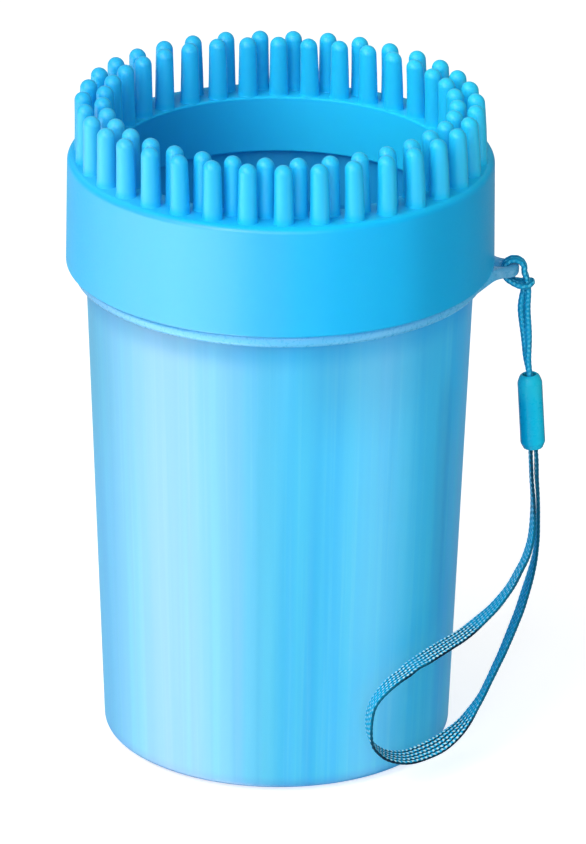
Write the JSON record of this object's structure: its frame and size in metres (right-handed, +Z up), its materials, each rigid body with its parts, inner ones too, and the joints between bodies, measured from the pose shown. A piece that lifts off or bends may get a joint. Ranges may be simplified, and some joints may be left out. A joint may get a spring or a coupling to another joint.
{
  "type": "paw washer cup",
  "caption": "Frosted tumbler with a screw-on soft bristle head for washing a dog's paw, a swivelling carry ring with an ear, and a hitched wrist lanyard.",
  "frame": {"origin": "centre of the cup's flat base, on the ground", "axes": "+Z up along the cup's axis; +X towards the lanyard ear; -Y is the front"},
  "size_m": [0.1079, 0.0954, 0.1515],
  "materials": {
    "cup_frosted": "frosted translucent, satin",
    "ring_clear": "pale translucent, semi-gloss",
    "insert_plastic": "matte",
    "head_silicone": "satin silicone",
    "seal_silicone": "matte",
    "cord_weave": "braided",
    "sleeve_gloss": "glossy",
    "strap_weave": "ribbed weave"
  },
  "bodies": {
    "cup": {"cup_body": "cup_frosted"},
    "seal": {"rim_seal": "seal_silicone"},
    "head": {"brush_head": "head_silicone", "thread_ring": "insert_plastic"},
    "ring": {"carry_ring": "ring_clear"},
    "lanyard": {"lanyard_cord": "cord_weave", "lanyard_sleeve": "sleeve_gloss", "strap_tack": "strap_weave"},
    "strap": {"wrist_strap": "strap_weave"}
  },
  "joints": [
    {"name": "head_lift", "type": "slide", "parent": "cup", "child": "seal", "axis": [0, 0, 1], "range_m": [0, 0.0241]},
    {"name": "head_turn", "type": "hinge", "parent": "seal", "child": "head", "pos_m": [0, 0, 0.125], "axis": [0, 0, 1], "range_deg": [0, 1440]},
    {"name": "ring_swivel", "type": "hinge", "parent": "cup", "child": "ring", "pos_m": [0, 0, 0.1114], "axis": [0, 0, 1], "continuous": true},
    {"name": "lanyard_swing", "type": "hinge", "parent": "ring", "child": "lanyard", "pos_m": [0.0522, 0, 0.1113], "axis": [0, -1, 0], "range_deg": [0, 120]},
    {"name": "strap_swing", "type": "hinge", "parent": "lanyard", "child": "strap", "pos_m": [0.0576, 0, 0.0664], "axis": [0, -1, 0], "range_deg": [0, 60]}
  ],
  "couplings": [
    {"joint": "head_lift", "follows": "head_turn", "m_per_rad": 0.00095493}
  ]
}
